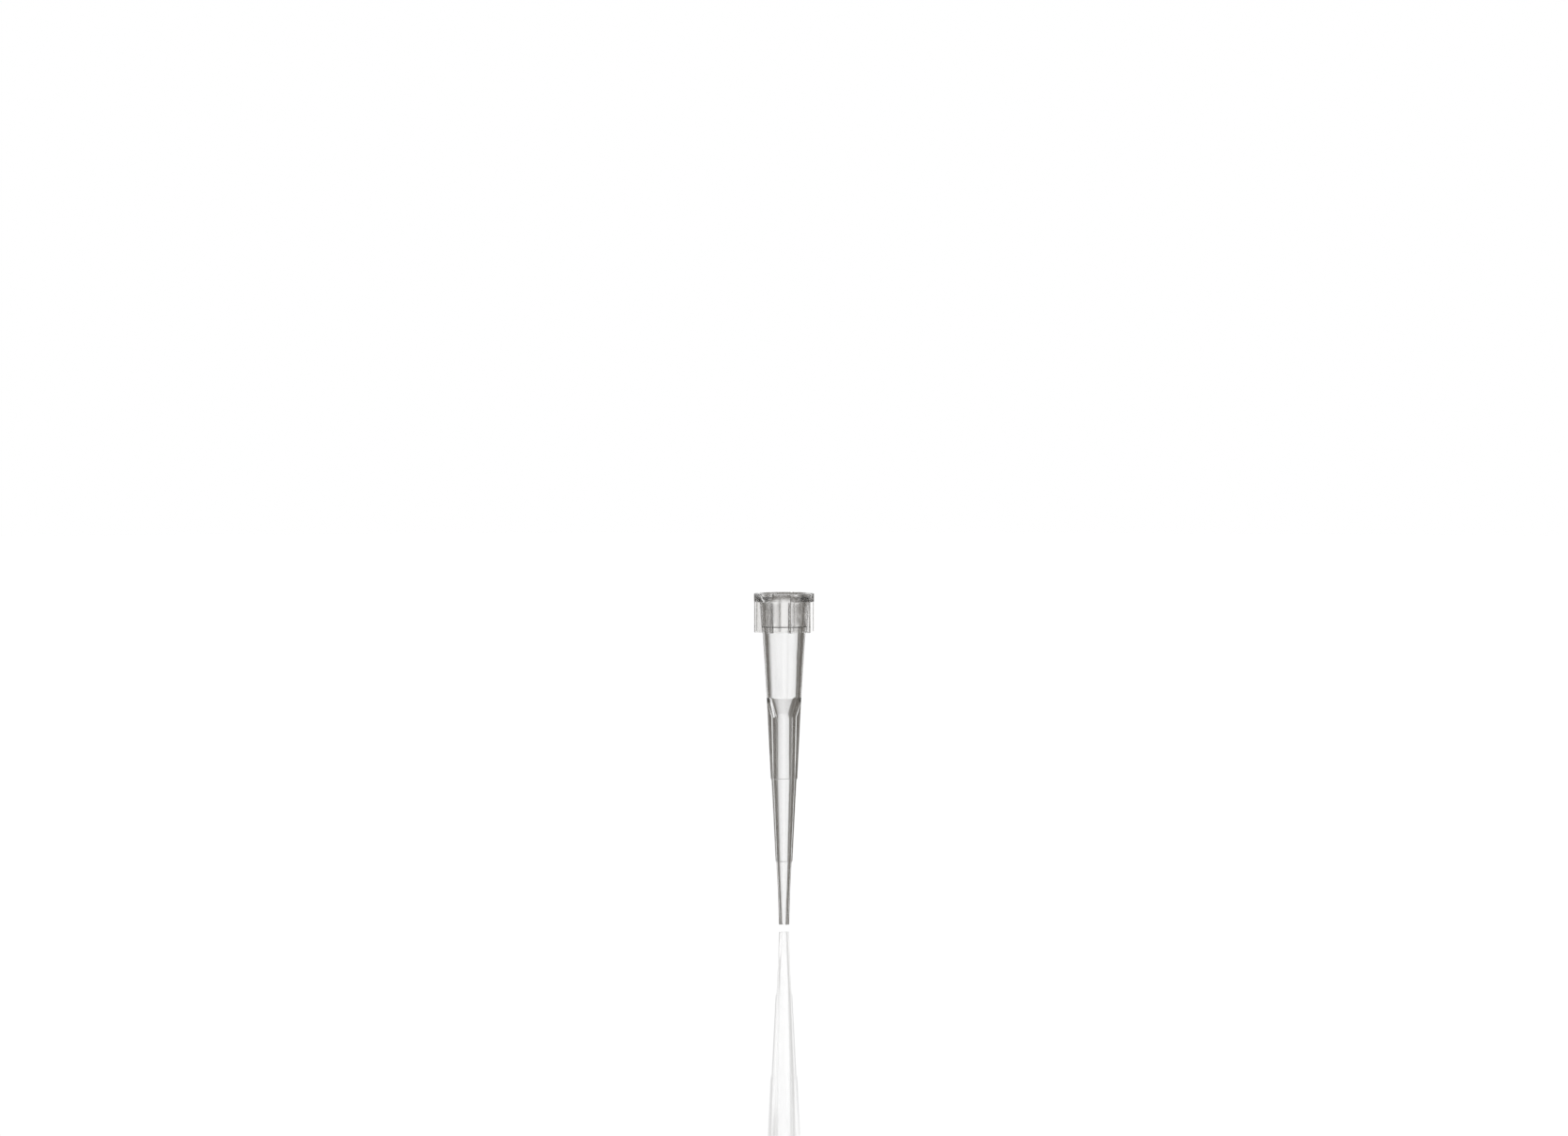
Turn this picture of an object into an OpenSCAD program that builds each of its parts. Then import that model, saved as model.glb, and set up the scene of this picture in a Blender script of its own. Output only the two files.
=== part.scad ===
// Short pipette tip, moulded in one piece: a ribbed collar round a nozzle socket,
// a funnel below the socket and a stepped, tapering point.
// The origin is the middle of the collar's top face. The tip points down, along -Z.
// Depths are measured down from the top face. All sizes are in millimetres.

/* [Collar] */
// Diameter of the rim that an ejector pushes on
rim_d = 5.7; // [5.4:0.05:6.6]
// Height of the rim
rim_h = 0.8; // [0.5:0.1:1.5]
// Bevel on the two outer edges of the rim
rim_bevel = 0.06; // [0.02:0.01:0.15]
// Number of ribs round the collar
rib_count = 8; // [4:1:12]
// Thickness of each rib at its outer edge
rib_t = 0.18; // [0.12:0.01:0.4]
// Thickness of each rib where it meets the hub
rib_root_t = 0.3; // [0.18:0.01:0.5]
// How far each rib stands proud of the rim
rib_proud = 0.04; // [0.01:0.01:0.15]
// Length of the ribs below the rim
rib_length = 2.9; // [2.5:0.1:4.5]
// Turn of the first rib from the +X axis, in degrees
rib_turn = 13.7; // [0:0.1:45]
// Ledge round the foot of the collar, where a rack holds the tip
foot_ledge = 0.05; // [0.02:0.01:0.15]

/* [Socket] */
// Diameter of the mouth at the top face
mouth_d = 4.5; // [4.3:0.05:4.9]
// Diameter of the throat, where the flared mouth ends at the foot of the rim
throat_d = 3.54; // [3.5:0.02:3.8]
// Depth of the top of the seal land, at the end of the gentle lead-in below the throat
lead_in = 2.0; // [1.6:0.1:2.2]
// Diameter of the straight land that seals on the nozzle
seal_d = 3.5; // [3.3:0.02:3.8]
// Length of the seal land
seal_length = 1.1; // [0.6:0.1:1.2]
// Height of the small shoulder under the seal land
shoulder_h = 0.06; // [0.04:0.01:0.12]
// Diameter of the socket just under the shoulder
socket_top_d = 3.24; // [3.0:0.02:3.28]
// Diameter of the socket at its bottom
socket_bottom_d = 2.64; // [2.2:0.02:2.9]
// Length of the body from the foot of the collar to the bottom of the socket
body_length = 6.2; // [4:0.1:9]
// Length of the funnel from the socket into the channel
funnel_length = 1.8; // [1:0.1:3]

/* [Channel] */
// Diameter of the liquid channel at its top
channel_top_d = 1.62; // [1.4:0.02:2]
// Diameter of the channel at the upper step
channel_upper_d = 1.48; // [1.2:0.02:1.6]
// Diameter of the channel at the lower step
channel_lower_d = 0.98; // [0.8:0.02:1.2]
// Diameter of the orifice at the point
orifice_d = 0.5; // [0.3:0.02:0.7]

/* [Point] */
// Length from the bottom of the socket to the upper step
upper_shaft_length = 7.7; // [5:0.1:12]
// Length from the upper step to the lower step
middle_shaft_length = 7.9; // [4:0.1:12]
// Length from the lower step to the end taper
lower_shaft_length = 2.7; // [1:0.1:6]
// Length of the slender end taper
end_length = 3.3; // [1:0.1:6]
// How far the outside steps in at each step
step_in = 0.08; // [0.03:0.01:0.15]

/* [Walls] */
// Wall at the top of the hub, under the rim
hub_wall = 0.53; // [0.3:0.01:0.6]
// Wall of the body just under the collar
body_wall = 0.45; // [0.3:0.01:0.6]
// Wall at the bottom of the socket
socket_wall = 0.325; // [0.25:0.005:0.6]
// Wall just above the upper step
upper_wall = 0.535; // [0.4:0.005:0.7]
// Wall just above the lower step
lower_wall = 0.31; // [0.25:0.005:0.45]
// Wall at the top of the end taper
taper_wall = 0.205; // [0.15:0.005:0.3]
// Wall at the orifice
orifice_wall = 0.24; // [0.15:0.01:0.35]

/* [Hidden] */
$fn = 128;
past = 1;

seal_top = lead_in;
seal_foot = seal_top + seal_length;
collar_h = rim_h + rib_length;
socket_foot = collar_h + body_length;
funnel_foot = socket_foot + funnel_length;
upper_step = socket_foot + upper_shaft_length;
lower_step = upper_step + middle_shaft_length;
taper_top = lower_step + lower_shaft_length;
tip_length = taper_top + end_length;

// Depth and radius at each change of the inside, from the mouth to the orifice
BORE = [
    [0, mouth_d / 2],
    [rim_h, throat_d / 2],
    [seal_top, seal_d / 2],
    [seal_foot, seal_d / 2],
    [seal_foot + shoulder_h, socket_top_d / 2],
    [socket_foot, socket_bottom_d / 2],
    [funnel_foot, channel_top_d / 2],
    [upper_step, channel_upper_d / 2],
    [lower_step, channel_lower_d / 2],
    [tip_length, orifice_d / 2]
];

// Radius of the outside where the wall is this thick over the bore
function outside(depth, wall) = lookup(depth, BORE) + wall;

hub_top_r = outside(rim_h, hub_wall);
rib_reach = rim_d / 2 + rib_proud;
body_top_r = outside(collar_h, body_wall);
upper_step_r = outside(upper_step, upper_wall);
lower_step_r = outside(lower_step, lower_wall);

// Depth and radius at each change of the outside, from the rim to the point
OUTSIDE = [
    [0, rim_d / 2 - rim_bevel],
    [rim_bevel, rim_d / 2],
    [rim_h - rim_bevel, rim_d / 2],
    [rim_h, rim_d / 2 - rim_bevel],
    [rim_h, hub_top_r],
    [collar_h, body_top_r + foot_ledge],
    [collar_h, body_top_r],
    [socket_foot, outside(socket_foot, socket_wall)],
    [upper_step, upper_step_r],
    [upper_step, upper_step_r - step_in],
    [lower_step, lower_step_r],
    [lower_step, lower_step_r - step_in],
    [taper_top, outside(taper_top, taper_wall)],
    [tip_length, outside(tip_length, orifice_wall)]
];

// A solid of revolution from depths and radii, closed on the axis
module turned(profile) {
    points = [for (p = profile) [p[1], -p[0]]];
    ends = [[0, points[len(points) - 1][1]], [0, points[0][1]]];
    rotate_extrude() polygon(concat(points, ends));
}

// The inside, run on past the mouth and the orifice for a clean cut
module bore() {
    turned(concat([[-past, mouth_d / 2]], BORE, [[tip_length + past, orifice_d / 2]]));
}

// One rib seen from above: as thick as its root inside the hub, thinner outwards
module rib_outline() {
    root = [hub_top_r, rib_root_t / 2];
    edge = [rib_reach, rib_t / 2];
    inner = seal_d / 2;
    polygon([[inner, root[1]], root, edge, [edge[0], -edge[1]], [root[0], -root[1]], [inner, -root[1]]]);
}

// Straight radial ribs, from the hub out to just past the rim
module ribs() {
    for (i = [0 : rib_count - 1])
        rotate([0, 0, rib_turn + i * 360 / rib_count])
            translate([0, 0, -collar_h]) linear_extrude(collar_h) rib_outline();
}

module tip() {
    color("whitesmoke") difference() {
        union() {
            turned(OUTSIDE);
            ribs();
        }
        bore();
    }
}

tip();
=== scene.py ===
"""Looks of a clear moulded pipette tip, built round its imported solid.

Everything is in metres, in the frame of the part: the origin is the middle of the
collar's top face and the tip points down, along -Z. Depths are measured down from
the top face.
"""

from collections import namedtuple
from math import cos, pi, radians, sin

import bmesh
import bpy
from bpy.props import FloatProperty, FloatVectorProperty, IntProperty, PointerProperty
from mathutils import Matrix, Vector


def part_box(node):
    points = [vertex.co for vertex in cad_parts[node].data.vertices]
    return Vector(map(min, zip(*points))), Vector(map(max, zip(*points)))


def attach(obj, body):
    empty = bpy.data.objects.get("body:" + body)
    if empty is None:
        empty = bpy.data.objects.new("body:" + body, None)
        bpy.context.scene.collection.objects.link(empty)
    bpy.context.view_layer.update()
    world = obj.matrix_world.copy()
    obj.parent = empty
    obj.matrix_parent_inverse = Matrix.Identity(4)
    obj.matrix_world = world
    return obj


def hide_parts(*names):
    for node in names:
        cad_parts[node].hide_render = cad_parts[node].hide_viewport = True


bl_info = {
    "name": "Pipette Tip",
    "version": (1, 0, 0),
    "blender": (4, 5, 0),
    "location": "View3D > Sidebar > Pipette Tip",
    "description": "Builds a clear moulded pipette tip and a plain studio round it",
    "category": "Object",
}

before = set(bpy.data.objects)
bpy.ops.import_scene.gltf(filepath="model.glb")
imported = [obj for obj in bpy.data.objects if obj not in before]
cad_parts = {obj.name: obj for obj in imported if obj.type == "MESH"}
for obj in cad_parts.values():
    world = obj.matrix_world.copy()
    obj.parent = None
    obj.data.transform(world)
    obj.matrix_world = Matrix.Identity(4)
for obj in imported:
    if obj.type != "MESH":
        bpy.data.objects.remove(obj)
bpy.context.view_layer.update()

MM = 0.001
NODE = "tip"
BODY = "root"
MATT_SKIN_AND_PAINTED_SHADE = "matt_skin_and_painted_shade"
WELD = 1e-8  # points closer than this become one
ROUND_STEPS = 4  # faces across each rounded edge
POLYMER_IOR = 1.49  # of polypropylene, and of acrylic too


def size(name, millimetres, description):
    """A length that a user can set, given here in millimetres."""
    return FloatProperty(
        name=name,
        description=description,
        default=millimetres * MM,
        min=0.0,
        unit="LENGTH",
        precision=6,
    )


def colour(name, hex_code, description):
    """A colour that a user can set, given here as an sRGB hex code."""
    return FloatVectorProperty(
        name=name,
        description=description,
        subtype="COLOR",
        size=4,
        default=linear(hex_code),
        min=0.0,
        max=1.0,
    )


def linear(hex_code):
    """An sRGB hex code as the linear red, green, blue and alpha that shaders take."""
    channels = [int(hex_code[i : i + 2], 16) / 255 for i in (1, 3, 5)]
    turned = [c / 12.92 if c <= 0.04045 else ((c + 0.055) / 1.055) ** 2.4 for c in channels]
    return (*turned, 1.0)


# ---------------------------------------------------------------- what can be set


class TipShape(bpy.types.PropertyGroup):
    """Colour and finish of the plastic, with a slightly darker tint on the matt collar that is
    painted shade.
    """

    rim_d: size("Rim diameter", 5.7, "Diameter of the rim that an ejector pushes on")
    rim_h: size("Rim height", 0.8, "Height of the rim")
    rib_t: size("Rib edge", 0.18, "Thickness of each rib at its outer edge")
    rib_root_t: size("Rib root", 0.3, "Thickness of each rib where it meets the hub")
    rib_proud: size("Rib proud", 0.04, "How far each rib stands proud of the rim")
    rib_length: size("Rib length", 2.9, "Length of the ribs below the rim")
    foot_ledge: size("Foot ledge", 0.05, "Ledge round the foot of the collar")
    mouth_d: size("Mouth diameter", 4.5, "Diameter of the mouth at the top face")
    throat_d: size("Throat diameter", 3.54, "Diameter inside at the foot of the rim")
    lead_in: size("Lead-in", 2.0, "Depth of the tapered lead-in below the mouth")
    seal_d: size("Seal diameter", 3.5, "Diameter of the land that seals on the nozzle")
    seal_length: size("Seal length", 1.1, "Length of the seal land")
    shoulder_h: size("Shoulder", 0.06, "Height of the small shoulder under the seal land")
    socket_top_d: size("Socket top", 3.24, "Diameter of the socket under the shoulder")
    socket_bottom_d: size("Socket bottom", 2.64, "Diameter of the socket at its bottom")
    body_length: size("Body length", 6.2, "Length from the collar to the socket's bottom")
    funnel_length: size("Funnel length", 1.8, "Length of the funnel into the channel")
    channel_top_d: size("Channel top", 1.62, "Diameter of the channel at its top")
    channel_upper_d: size("Channel upper", 1.48, "Diameter of the channel at the upper step")
    channel_lower_d: size("Channel lower", 0.98, "Diameter of the channel at the lower step")
    orifice_d: size("Orifice", 0.5, "Diameter of the orifice at the point")
    upper_shaft_length: size("Upper shaft", 7.7, "Length from the socket to the upper step")
    middle_shaft_length: size("Middle shaft", 7.9, "Length between the two steps")
    lower_shaft_length: size("Lower shaft", 2.7, "Length from the lower step to the taper")
    end_length: size("End taper", 3.3, "Length of the slender end taper")
    step_in: size("Step", 0.08, "How far the outside steps in at each step")
    hub_wall: size("Hub wall", 0.53, "Wall at the top of the hub, under the rim")
    body_wall: size("Body wall", 0.45, "Wall of the body just under the collar")
    socket_wall: size("Socket wall", 0.325, "Wall at the bottom of the socket")
    upper_wall: size("Upper wall", 0.535, "Wall just above the upper step")
    lower_wall: size("Lower wall", 0.31, "Wall just above the lower step")
    taper_wall: size("Taper wall", 0.205, "Wall at the top of the end taper")
    orifice_wall: size("Orifice wall", 0.24, "Wall at the orifice")
    rim_round: size("Rim rounding", 0.06, "Radius on the outer edges of the rim")
    rib_round: size("Rib rounding", 0.07, "Radius on the outer edges of the ribs")
    edge_round: size("Edge rounding", 0.03, "Radius on the mouth, the steps and the end")
    turn_round: size("Corner rounding", 0.05, "Radius where one cone meets the next")
    rib_count: IntProperty(
        name="Ribs", description="Number of ribs round the collar", default=8, min=3, max=16
    )
    rib_turn: FloatProperty(
        name="Rib turn",
        description="Turn of the first rib from the +X axis",
        default=radians(13.7),
        subtype="ANGLE",
    )
    segments: IntProperty(
        name="Segments", description="Faces round the tip", default=256, min=48, max=512
    )


class TipFinish(bpy.types.PropertyGroup):
    """Colour and finish of the plastic."""

    tint: colour("Tint", "#FDFDFD", "Colour of the plastic itself")
    # Painted shade: this darker tint on the matt rim, hub and ribs stands in for how dim light
    # leaves them
    painted_shade_matt_tint: colour("Matt tint", "#F8F7F6", "The same where the matt skin dims it")
    depth_tint: colour("Depth tint", "#AFADAC", "Colour that a thick wall of it turns to")
    depth: FloatProperty(
        name="Depth", description="How fast a thick wall takes that colour, per metre", default=60.0
    )
    clarity: FloatProperty(
        name="Clarity",
        description="Share of the light that goes through without being scattered",
        default=0.985,
        min=0.0,
        max=1.0,
        subtype="FACTOR",
    )
    polish: FloatProperty(
        name="Polished roughness",
        description="Roughness of the body, from the polished half of the mould",
        default=0.035,
        min=0.0,
        max=1.0,
        subtype="FACTOR",
    )
    matt: FloatProperty(
        name="Matt roughness",
        description="Roughness of the rim and hub, from the spark-eroded half of the mould",
        default=0.18,
        min=0.0,
        max=1.0,
        subtype="FACTOR",
    )
    # The ribs also take this share of the painted shade tint
    rib_share: FloatProperty(
        name="Matt ribs",
        description="How matt the ribs are, where the rim and the hub are 1",
        default=0.5,
        min=0.0,
        max=1.0,
        subtype="FACTOR",
    )


class StudioSettings(bpy.types.PropertyGroup):
    """The plain studio round the tip."""

    floor_gap: size("Floor gap", 0.36, "How far below the held tip the floor lies")
    camera_distance: size("Camera distance", 350.0, "From the camera to the tip's axis")
    camera_height: size("Camera height", 16.5, "Of the camera above the collar's top face")
    camera_tilt: FloatProperty(
        name="Camera tilt",
        description="How far the camera looks down",
        default=radians(2.31),
        subtype="ANGLE",
    )
    focal_length: FloatProperty(
        name="Focal length", description="Of the camera's lens, in millimetres", default=85.0
    )
    floor_radius: size("Floor radius", 1200.0, "Radius of the round floor")
    floor_colour: colour("Floor", "#F4F4F3", "Colour of the glossy floor")
    surroundings: colour("Surroundings", "#68645E", "Colour between the bright panels")
    panel: FloatProperty(
        name="Panel",
        description="Brightness of the panels that show through the tip, where white is 1",
        default=1.06,
        min=0.0,
    )


# ---------------------------------------------------------------- small helpers


def add_node(tree, kind, inputs=None, **settings):
    """Adds a node. Settings are its own, and inputs are links from sockets or values."""
    node = tree.nodes.new(kind)
    for name, value in settings.items():
        setattr(node, name, value)
    for key, value in (inputs or {}).items():
        if isinstance(value, bpy.types.NodeSocket):
            tree.links.new(value, node.inputs[key])
        else:
            node.inputs[key].default_value = value
    return node


def new_tree(owner):
    """Turns nodes on for a material or a world and empties them."""
    owner.use_nodes = True
    owner.node_tree.nodes.clear()
    return owner.node_tree


def new_object(name, bm):
    """Makes an object at the origin from a bmesh, and frees the bmesh."""
    mesh = bpy.data.meshes.new(name)
    bm.to_mesh(mesh)
    bm.free()
    piece = bpy.data.objects.new(name, mesh)
    bpy.context.scene.collection.objects.link(piece)
    return piece


# ---------------------------------------------------------------- the tip


def bore_profile(s):
    """Depth and radius at each change of the inside, from the mouth to the orifice."""
    seal_foot = s.lead_in + s.seal_length
    socket_foot = s.rim_h + s.rib_length + s.body_length
    upper_step = socket_foot + s.upper_shaft_length
    lower_step = upper_step + s.middle_shaft_length
    return [
        (0.0, s.mouth_d / 2),
        (s.rim_h, s.throat_d / 2),
        (s.lead_in, s.seal_d / 2),
        (seal_foot, s.seal_d / 2),
        (seal_foot + s.shoulder_h, s.socket_top_d / 2),
        (socket_foot, s.socket_bottom_d / 2),
        (socket_foot + s.funnel_length, s.channel_top_d / 2),
        (upper_step, s.channel_upper_d / 2),
        (lower_step, s.channel_lower_d / 2),
        (lower_step + s.lower_shaft_length + s.end_length, s.orifice_d / 2),
    ]


def radius_at(profile, depth):
    """The radius of a profile at a depth, on the straight line between its points."""
    for (above, r_above), (below, r_below) in zip(profile, profile[1:]):
        if above <= depth <= below:
            return r_above + (r_below - r_above) * (depth - above) / (below - above)
    raise ValueError(f"the tip has no depth {depth}")


def outer_profile(s, bore):
    """Depth, radius and rounding at each change of the outside, down from the rim."""
    collar_foot = s.rim_h + s.rib_length
    socket_foot = collar_foot + s.body_length
    upper_step = socket_foot + s.upper_shaft_length
    lower_step = upper_step + s.middle_shaft_length
    taper_top = lower_step + s.lower_shaft_length
    end = taper_top + s.end_length
    rim_r = s.rim_d / 2
    body_r = radius_at(bore, collar_foot) + s.body_wall
    upper_r = radius_at(bore, upper_step) + s.upper_wall
    lower_r = radius_at(bore, lower_step) + s.lower_wall
    return [
        (0.0, rim_r, s.rim_round),
        (s.rim_h, rim_r, s.rim_round),
        (s.rim_h, radius_at(bore, s.rim_h) + s.hub_wall, s.edge_round),
        (collar_foot, body_r + s.foot_ledge, s.edge_round / 2),
        (collar_foot, body_r, s.edge_round / 2),
        (socket_foot, radius_at(bore, socket_foot) + s.socket_wall, s.turn_round),
        (upper_step, upper_r, s.edge_round),
        (upper_step, upper_r - s.step_in, s.edge_round),
        (lower_step, lower_r, s.edge_round),
        (lower_step, lower_r - s.step_in, s.edge_round),
        (taper_top, radius_at(bore, taper_top) + s.taper_wall, s.turn_round),
        (end, radius_at(bore, end) + s.orifice_wall, s.edge_round),
    ]


def turned_body(s):
    """The tip without its ribs: a closed outline, rounded at its corners and spun."""
    bore = bore_profile(s)
    roundings = [s.edge_round] + [s.turn_round] * (len(bore) - 2) + [s.edge_round]
    # The shoulder under the seal land is small, so its two corners have less
    seal_end, socket_start = 3, 4
    roundings[seal_end] = roundings[socket_start] = s.shoulder_h / 3
    inside = [(depth, r, rounding) for (depth, r), rounding in zip(bore, roundings)]
    corners = outer_profile(s, bore) + inside[::-1]

    bm = bmesh.new()
    points = [bm.verts.new((r, 0.0, -depth)) for depth, r, _ in corners]
    bm.faces.new(points)
    for rounding in sorted({c[2] for c in corners}):
        bmesh.ops.bevel(
            bm,
            geom=[p for p, c in zip(points, corners) if c[2] == rounding],
            affect="VERTICES",
            offset=rounding,
            offset_type="OFFSET",
            segments=ROUND_STEPS,
            profile=0.5,
            material=-1,
        )
    bmesh.ops.delete(bm, geom=bm.faces[:], context="FACES_ONLY")
    bmesh.ops.spin(
        bm,
        geom=bm.edges[:],
        cent=(0, 0, 0),
        axis=(0, 0, 1),
        angle=2 * pi,
        steps=s.segments,
        use_merge=True,
    )
    bmesh.ops.remove_doubles(bm, verts=bm.verts[:], dist=WELD)
    bmesh.ops.recalc_face_normals(bm, faces=bm.faces[:])
    return bm


def collar_ribs(s):
    """The straight ribs, thicker where they meet the hub, each with its root inside the
    wall and its outer edges rounded."""
    bore = bore_profile(s)
    foot = s.rim_h + s.rib_length
    top = s.edge_round / 3
    reach = s.rim_d / 2 + s.rib_proud
    root_at = {
        top: radius_at(bore, top) + s.hub_wall / 3,
        foot: radius_at(bore, foot) + s.body_wall / 2,
    }

    bm = bmesh.new()
    bmesh.ops.create_cube(bm, size=1.0)
    for v in bm.verts:
        depth = top if v.co.z > 0 else foot
        if v.co.x > 0:
            v.co = (reach, v.co.y * s.rib_t, -depth)
        else:
            v.co = (root_at[depth], v.co.y * s.rib_root_t, -depth)
    outer = [
        e
        for e in bm.edges
        if all(v.co.x > reach - s.rib_round for v in e.verts)
        or all(v.co.z < s.rib_round - foot for v in e.verts)
    ]
    bmesh.ops.bevel(
        bm,
        geom=outer,
        affect="EDGES",
        offset=s.rib_round,
        offset_type="OFFSET",
        segments=ROUND_STEPS,
        profile=0.5,
        material=-1,
    )
    bmesh.ops.rotate(
        bm, verts=bm.verts[:], cent=(0, 0, 0), matrix=Matrix.Rotation(s.rib_turn, 3, "Z")
    )
    bmesh.ops.spin(
        bm,
        geom=bm.faces[:],
        cent=(0, 0, 0),
        axis=(0, 0, 1),
        angle=2 * pi,
        steps=s.rib_count,
        use_merge=True,
        use_duplicate=True,
    )
    bmesh.ops.remove_doubles(bm, verts=bm.verts[:], dist=WELD)
    bmesh.ops.recalc_face_normals(bm, faces=bm.faces[:])
    return bm


def joined(body, extra):
    """Melts extra into body as one closed solid, and removes extra."""
    union = body.modifiers.new("Melt the ribs in", "BOOLEAN")
    union.operation = "UNION"
    union.solver = "EXACT"
    union.object = extra
    solid = body.evaluated_get(bpy.context.evaluated_depsgraph_get())
    mesh = bpy.data.meshes.new_from_object(solid)
    body.modifiers.clear()
    body.data = mesh
    bpy.data.objects.remove(extra)
    return body


def mark_matt_skin(piece, shape, rib_share):
    """Marks the faces that the eroded half of the mould made: the collar's rim and hub,
    and less strongly the ribs, which come out of ground slots. The mark makes them
    rougher and also tints them a little darker, which is painted shade."""
    foot = shape.rim_h + shape.rib_length + shape.edge_round
    hub_r = radius_at(bore_profile(shape), shape.rim_h) + shape.hub_wall + shape.edge_round
    skin = piece.data.attributes.new(MATT_SKIN_AND_PAINTED_SHADE, "FLOAT", "FACE")
    for face in piece.data.polygons:
        radial = Vector((face.center.x, face.center.y, 0.0))
        level = abs(face.normal.z) > 0.9  # the top face, or the foot of the collar
        outward = level or face.normal.dot(radial) >= 0.0
        in_bore = radial.length < shape.seal_d / 2 + shape.edge_round
        on_rib = radial.length > hub_r and face.center.z < -shape.rim_h - shape.edge_round
        if face.center.z > -foot and outward and not in_bore:
            skin.data[face.index].value = rib_share if on_rib else 1.0


def smooth_with_crisp_edges(piece, angle):
    """Shades a piece smooth, keeps the edges that turn more than angle crisp, and lets
    the large faces set the normals so that the long cones refract evenly."""
    piece.data.shade_smooth()
    piece.data.set_sharp_from_angle(angle=angle)
    weighted = piece.modifiers.new("Even normals", "WEIGHTED_NORMAL")
    weighted.mode = "FACE_AREA"
    weighted.weight = 50
    weighted.keep_sharp = True


def clear_polypropylene(finish):
    """Natural polypropylene, injection moulded. It reads as clear and colourless, a
    little warm and smoky where the wall is thick, with a faint haze. The body and the
    point are polished. The collar's rim and hub are slightly matt, its ribs less so, and
    the melt's flow leaves fine long streaks. The matt parts are also tinted a little
    darker, which is painted shade."""
    material = bpy.data.materials.new("clear_polypropylene_moulded")
    tree = new_tree(material)
    place = add_node(tree, "ShaderNodeTexCoord").outputs["Object"]

    # Streaks drawn out along the flow
    streak, drawn_out, streak_height = 0.35 * MM, 6, 0.004 * MM
    drawn = add_node(
        tree,
        "ShaderNodeMapping",
        {"Vector": place, "Scale": (1 / streak, 1 / streak, 1 / (drawn_out * streak))},
    )
    flow = add_node(
        tree,
        "ShaderNodeTexNoise",
        {"Vector": drawn.outputs["Vector"], "Scale": 1.0, "Detail": 2.0, "Roughness": 0.5},
    )
    # Grain of the eroded mould, which is coarser than real so that it shows
    grain_size, grain_height = 0.09 * MM, 0.0012 * MM
    grain = add_node(
        tree,
        "ShaderNodeTexNoise",
        {"Vector": place, "Scale": 1 / grain_size, "Detail": 1.0, "Roughness": 0.5},
    )

    # The matt skin mark sets the roughness and also mixes in the darker tint that paints shade
    matt_skin_and_painted_shade = add_node(
        tree, "ShaderNodeAttribute", attribute_name=MATT_SKIN_AND_PAINTED_SHADE
    ).outputs["Fac"]
    base = add_node(
        tree,
        "ShaderNodeMapRange",
        {"Value": matt_skin_and_painted_shade, "To Min": finish.polish, "To Max": finish.matt},
    ).outputs["Result"]
    # The flow makes the roughness vary this much, from streak to streak
    smoother, rougher = 0.6, 1.4
    roughness = add_node(
        tree,
        "ShaderNodeMath",
        {0: base, 1: add_node(
            tree,
            "ShaderNodeMapRange",
            {"Value": flow.outputs["Fac"], "To Min": smoother, "To Max": rougher},
        ).outputs["Result"]},
        operation="MULTIPLY",
    )
    wave = add_node(
        tree,
        "ShaderNodeBump",
        {"Height": flow.outputs["Fac"], "Strength": 1.0, "Distance": streak_height},
    )
    texture = add_node(
        tree,
        "ShaderNodeBump",
        {
            "Height": add_node(
                tree,
                "ShaderNodeMath",
                {0: grain.outputs["Fac"], 1: matt_skin_and_painted_shade},
                operation="MULTIPLY",
            ).outputs["Value"],
            "Strength": 1.0,
            "Distance": grain_height,
            "Normal": wave.outputs["Normal"],
        },
    )
    surface = add_node(
        tree,
        "ShaderNodeBsdfPrincipled",
        {
            # Painted shade: the marked matt skin takes the darker matt tint
            "Base Color": add_node(
                tree,
                "ShaderNodeMix",
                {0: matt_skin_and_painted_shade, 6: finish.tint, 7: finish.painted_shade_matt_tint},
                data_type="RGBA",
            ).outputs[2],
            "Roughness": roughness.outputs["Value"],
            "IOR": POLYMER_IOR,
            "Transmission Weight": finish.clarity,
            "Normal": texture.outputs["Normal"],
        },
    )
    depth = add_node(
        tree,
        "ShaderNodeVolumeAbsorption",
        {"Color": finish.depth_tint, "Density": finish.depth},
    )
    add_node(
        tree,
        "ShaderNodeOutputMaterial",
        {"Surface": surface.outputs["BSDF"], "Volume": depth.outputs["Volume"]},
    )
    return material


class AddPipetteTip(bpy.types.Operator):
    """Add the clear moulded tip, with its ribbed collar, as one closed solid"""

    bl_idname = "object.add_pipette_tip"
    bl_label = "Add Pipette Tip"

    def execute(self, context):
        shape = context.scene.tip_shape
        finish = context.scene.tip_finish
        piece = new_object("moulded_tip", turned_body(shape))
        piece = joined(piece, new_object("collar_ribs", collar_ribs(shape)))
        mark_matt_skin(piece, shape, finish.rib_share)
        smooth_with_crisp_edges(piece, angle=radians(30))
        piece.data.materials.clear()
        piece.data.materials.append(clear_polypropylene(finish))
        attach(piece, BODY)
        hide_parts(NODE)
        return {"FINISHED"}


# ---------------------------------------------------------------- the studio

# A bright panel that stands round the tip and shows through it, all in degrees: the way
# to it, round from +X, how far it reaches to the right and to the left of that, the angle
# at which its shading would turn grey, the two slopes between which it fades in, and the
# slope above which it fades out. The grey gaps between the panels give the clear wall its
# dark edges from every side.
Panel = namedtuple("Panel", "azimuth right left shade faded full top")

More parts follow.
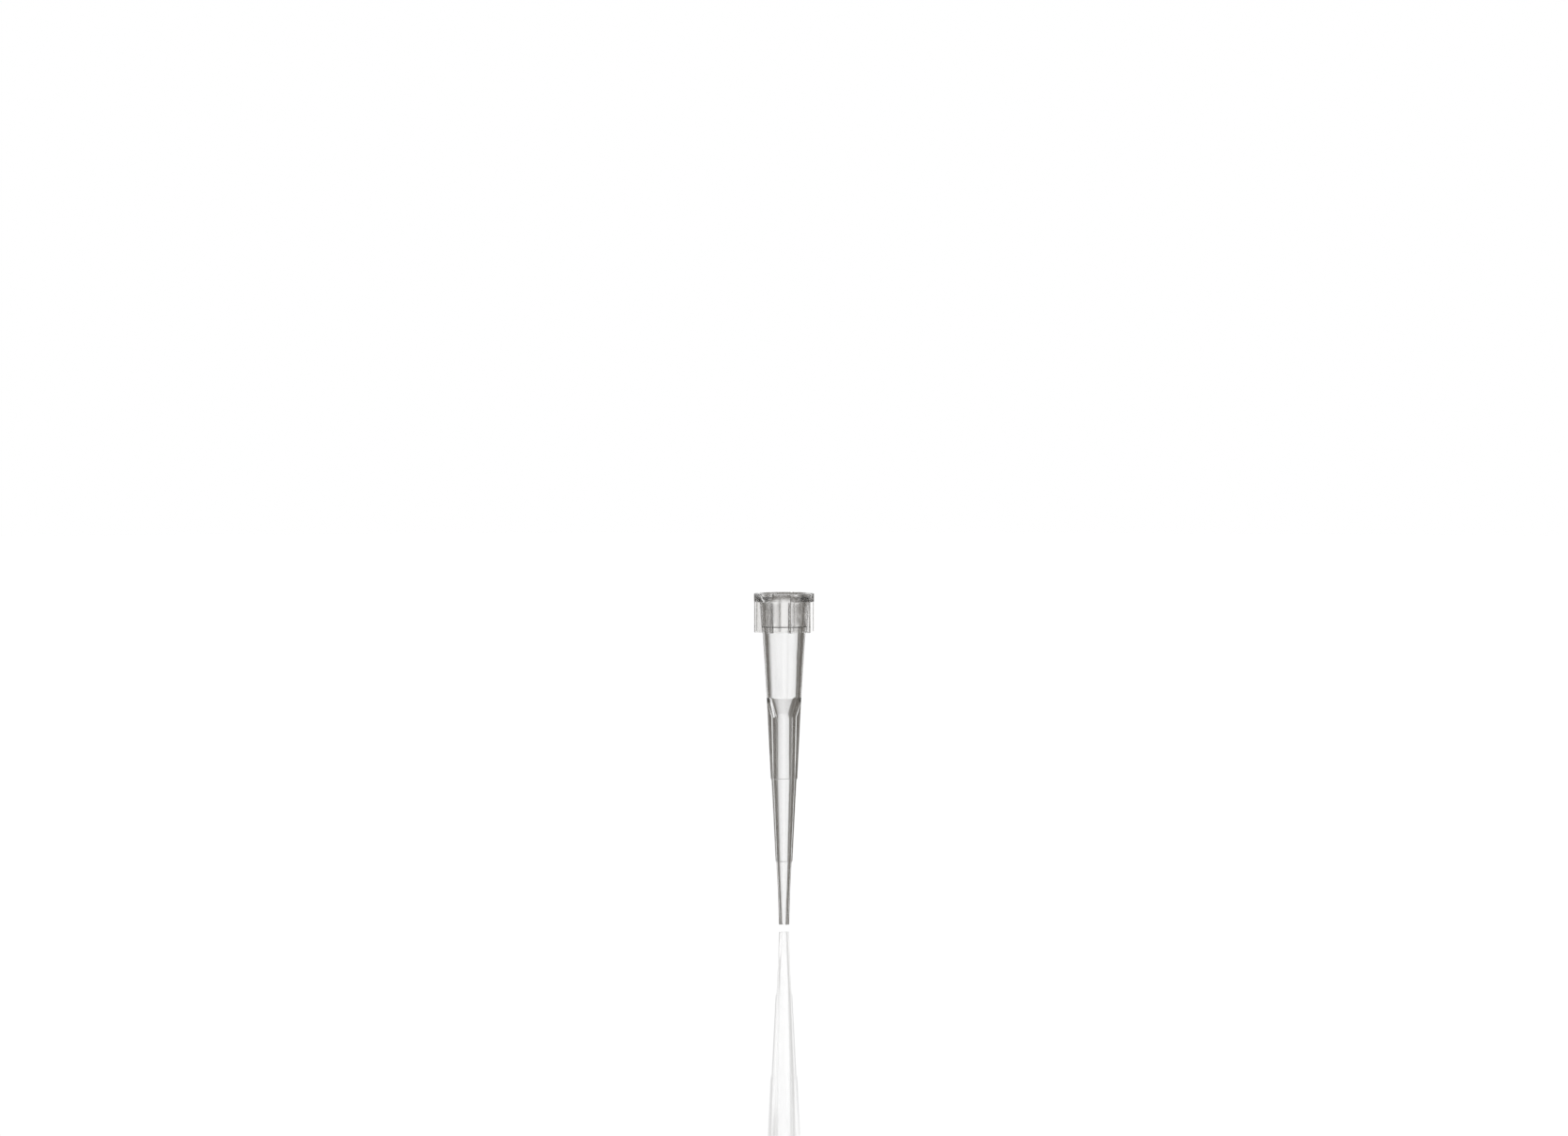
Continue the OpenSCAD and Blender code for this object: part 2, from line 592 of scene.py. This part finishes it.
NO_TOP = 60  # for a panel that reaches up into the bright overhead
PANELS = [
    Panel(90, 13, 17, 26, -12, -8, 2.8),
    Panel(90, 8, 22, 26, -24, -12.7, 2.8),
    Panel(90, 8, 10, 9, -12, -8, NO_TOP),
    Panel(90, 20, 20, 90, 7, 9, NO_TOP),
    Panel(135, 12, 15, 28, -9, -12, NO_TOP),
    Panel(135, 20, 20, 90, 13, 17, NO_TOP),
    Panel(315, 15, 15, 40, 1, -1, NO_TOP),
    Panel(315, 20, 20, 90, 5, 8, NO_TOP),
]
for azimuth in (0, 180, 270):
    PANELS += [
        Panel(azimuth, 13, 17, 26, -12, -8, NO_TOP),
        Panel(azimuth, 8, 22, 26, -24, -12.7, NO_TOP),
        Panel(azimuth, 20, 20, 90, 5, 8, NO_TOP),
    ]
UNMIRRORED = (0, 270)  # the ways whose panels show through the wall and not in its gloss

# In degrees: the soft edge at a panel's sides and at its top, and the slopes between
# which the overhead, the underfoot and the rays off the floor turn bright
PANEL_EDGE = 2.5
PANEL_FADE = 1.5
OVERHEAD = (35, 39)
UNDERFOOT = (-45, -50)
RISING = (0, 1)

ROOM_LIGHT = 0.9  # what lights the floor, where white is 1


def studio_world(studio):
    """White to the camera and in the floor. Through the tip, bright panels on grey."""
    world = bpy.data.worlds.new("white_studio")
    bpy.context.scene.world = world
    tree = new_tree(world)
    way = add_node(tree, "ShaderNodeTexCoord").outputs["Generated"]
    slope = add_node(tree, "ShaderNodeSeparateXYZ", {"Vector": way}).outputs["Z"]
    level = add_node(
        tree,
        "ShaderNodeVectorMath",
        {0: add_node(
            tree,
            "ShaderNodeVectorMath",
            {0: way, 1: (1.0, 1.0, 0.0)},
            operation="MULTIPLY",
        ).outputs["Vector"]},
        operation="NORMALIZE",
    ).outputs["Vector"]

    def step(value, low, high):
        return add_node(
            tree,
            "ShaderNodeMapRange",
            {"Value": value, "From Min": low, "From Max": high, "To Min": 0.0, "To Max": 1.0},
            interpolation_type="SMOOTHSTEP",
        ).outputs["Result"]

    def slopes(faded, full):
        return step(slope, sin(radians(faded)), sin(radians(full)))

    def combine(operation, one, other):
        return add_node(
            tree, "ShaderNodeMath", {0: one, 1: other}, operation=operation, use_clamp=True
        ).outputs["Value"]

    ray = add_node(tree, "ShaderNodeLightPath").outputs
    bright = combine("MAXIMUM", slopes(*OVERHEAD), slopes(*UNDERFOOT))
    # A mirror ray that rises and went through nothing comes straight off the floor
    mirrored = combine("SUBTRACT", ray["Is Glossy Ray"], ray["Is Transmission Ray"])
    unmirrored = combine("SUBTRACT", 1.0, mirrored)
    off_floor = combine("MULTIPLY", mirrored, slopes(*RISING))
    bright = combine("MAXIMUM", bright, off_floor)
    for azimuth, right, left, shade, faded, full, top in PANELS:
        a = radians(azimuth)
        ahead, aside = (
            add_node(
                tree, "ShaderNodeVectorMath", {0: level, 1: way_to}, operation="DOT_PRODUCT"
            ).outputs["Value"]
            for way_to in ((cos(a), sin(a), 0.0), (-sin(a), cos(a), 0.0))
        )
        panel = add_node(
            tree, "ShaderNodeMapRange", {"Value": ahead, "From Min": cos(radians(shade))}
        ).outputs["Result"]
        for edge, way_in in ((-right, -PANEL_EDGE), (left, PANEL_EDGE)):
            inside = step(aside, sin(radians(edge + way_in)), sin(radians(edge)))
            panel = combine("MULTIPLY", panel, inside)
        panel = combine("MULTIPLY", panel, slopes(faded, full))
        panel = combine("MULTIPLY", panel, slopes(top + PANEL_FADE, top))
        if azimuth in UNMIRRORED:
            panel = combine("MULTIPLY", panel, unmirrored)
        bright = combine("MAXIMUM", bright, panel)

    def mix(share, one, other):
        return add_node(
            tree, "ShaderNodeMix", {0: share, 6: one, 7: other}, data_type="RGBA"
        ).outputs[2]

    def white(level):
        return (level, level, level, 1.0)

    through = combine("MAXIMUM", ray["Is Glossy Ray"], ray["Is Transmission Ray"])
    seen = mix(bright, studio.surroundings, white(studio.panel))
    light = mix(through, white(ROOM_LIGHT), seen)
    shown = mix(ray["Is Camera Ray"], light, white(1.0))
    sky = add_node(tree, "ShaderNodeBackground", {"Color": shown, "Strength": 1.0})
    add_node(tree, "ShaderNodeOutputWorld", {"Surface": sky.outputs["Background"]})


# How much of the floor's white is its own, and the distances between which that grows
# until no shadow shows
NEAR_WHITE = 0.7
NEAR = 20 * MM
FAR = 90 * MM
FLOOR_ROUGHNESS = 0.03


def glossy_floor(studio):
    """Pale acrylic sheet, cast and glossy. White to the eye, with a soft shadow close to
    the tip and a mirror image that grows as it is seen more along its surface."""
    material = bpy.data.materials.new("white_acrylic_cast")
    tree = new_tree(material)
    place = add_node(tree, "ShaderNodeTexCoord").outputs["Object"]
    away = add_node(
        tree, "ShaderNodeVectorMath", {0: place}, operation="LENGTH"
    ).outputs["Value"]
    plain = add_node(
        tree, "ShaderNodeBsdfDiffuse", {"Color": studio.floor_colour}
    ).outputs["BSDF"]
    white = add_node(
        tree, "ShaderNodeEmission", {"Color": (1.0, 1.0, 1.0, 1.0), "Strength": 1.0}
    ).outputs["Emission"]
    ray = add_node(tree, "ShaderNodeLightPath").outputs
    lit = add_node(
        tree,
        "ShaderNodeMapRange",
        {
            "Value": away,
            "From Min": NEAR,
            "From Max": FAR,
            "To Min": NEAR_WHITE,
            "To Max": 1.0,
        },
    ).outputs["Result"]
    whiteness = add_node(
        tree, "ShaderNodeMath", {0: lit, 1: ray["Is Camera Ray"]}, operation="MULTIPLY"
    ).outputs["Value"]
    sheet = add_node(
        tree, "ShaderNodeMixShader", {0: whiteness, 1: plain, 2: white}
    ).outputs["Shader"]
    gloss = add_node(
        tree,
        "ShaderNodeBsdfGlossy",
        {"Color": (1.0, 1.0, 1.0, 1.0), "Roughness": FLOOR_ROUGHNESS},
    ).outputs["BSDF"]
    polished = add_node(
        tree,
        "ShaderNodeMixShader",
        {
            0: add_node(tree, "ShaderNodeFresnel", {"IOR": POLYMER_IOR}).outputs["Fac"],
            1: sheet,
            2: gloss,
        },
    ).outputs["Shader"]
    clear = add_node(tree, "ShaderNodeBsdfTransparent").outputs["BSDF"]
    through = add_node(
        tree,
        "ShaderNodeMath",
        {0: ray["Is Glossy Ray"], 1: ray["Is Transmission Ray"]},
        operation="MAXIMUM",
    ).outputs["Value"]
    seen = add_node(tree, "ShaderNodeMixShader", {0: through, 1: polished, 2: clear})
    add_node(tree, "ShaderNodeOutputMaterial", {"Surface": seen.outputs["Shader"]})
    return material


# Name, place and width in metres, and power in watts
LAMPS = (
    ("soft_lamp_left", (-0.35, -0.35, 0.45), 0.35, 1.6),
    ("soft_lamp_right", (0.45, -0.1, 0.5), 0.4, 1.0),
)


class AddStudio(bpy.types.Operator):
    """Add the white floor, the soft lamps, the surroundings and the camera"""

    bl_idname = "scene.add_white_studio"
    bl_label = "Add White Studio"

    def execute(self, context):
        studio = context.scene.studio_settings
        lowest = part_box(NODE)[0].z

        bm = bmesh.new()
        bmesh.ops.create_circle(
            bm, cap_ends=True, radius=studio.floor_radius, segments=64
        )
        bmesh.ops.translate(
            bm, verts=bm.verts[:], vec=(0.0, 0.0, lowest - studio.floor_gap)
        )
        floor = new_object("studio_floor", bm)
        floor.data.materials.append(glossy_floor(studio))

        studio_world(studio)

        for name, spot, width, power in LAMPS:
            lamp = bpy.data.lights.new(name, "AREA")
            lamp.shape = "DISK"
            lamp.size = width
            lamp.energy = power
            holder = bpy.data.objects.new(name, lamp)
            holder.location = spot
            aim = Vector((0.0, 0.0, lowest / 2)) - Vector(spot)
            holder.rotation_euler = aim.to_track_quat("-Z", "Y").to_euler()
            context.scene.collection.objects.link(holder)

        camera = bpy.data.cameras.new("camera")
        camera.lens = studio.focal_length
        camera.sensor_width = 36.0
        camera.clip_start = 0.01
        camera.clip_end = 5.0
        holder = bpy.data.objects.new("camera", camera)
        holder.location = (0.0, -studio.camera_distance, studio.camera_height)
        holder.rotation_euler = (radians(90) - studio.camera_tilt, 0.0, 0.0)
        context.scene.collection.objects.link(holder)
        context.scene.camera = holder
        context.scene.view_settings.view_transform = "Standard"
        return {"FINISHED"}


class PipetteTipPanel(bpy.types.Panel):
    """Sizes, finish and studio of the pipette tip"""

    bl_idname = "VIEW3D_PT_pipette_tip"
    bl_label = "Pipette Tip"
    bl_space_type = "VIEW_3D"
    bl_region_type = "UI"
    bl_category = "Pipette Tip"

    def draw(self, context):
        for operator, settings in (
            (AddStudio, context.scene.studio_settings),
            (AddPipetteTip, context.scene.tip_finish),
            (None, context.scene.tip_shape),
        ):
            column = self.layout.column(align=True)
            if operator:
                column.operator(operator.bl_idname)
            for name in settings.__annotations__:
                column.prop(settings, name)


CLASSES = (TipShape, TipFinish, StudioSettings, AddStudio, AddPipetteTip, PipetteTipPanel)
SETTINGS = {
    "tip_shape": TipShape,
    "tip_finish": TipFinish,
    "studio_settings": StudioSettings,
}


def register():
    for item in CLASSES:
        bpy.utils.register_class(item)
    for name, group in SETTINGS.items():
        setattr(bpy.types.Scene, name, PointerProperty(type=group))


def unregister():
    for name in SETTINGS:
        delattr(bpy.types.Scene, name)
    for item in reversed(CLASSES):
        bpy.utils.unregister_class(item)


def main():
    register()
    bpy.ops.scene.add_white_studio()
    bpy.ops.object.add_pipette_tip()


if __name__ == "__main__":
    main()
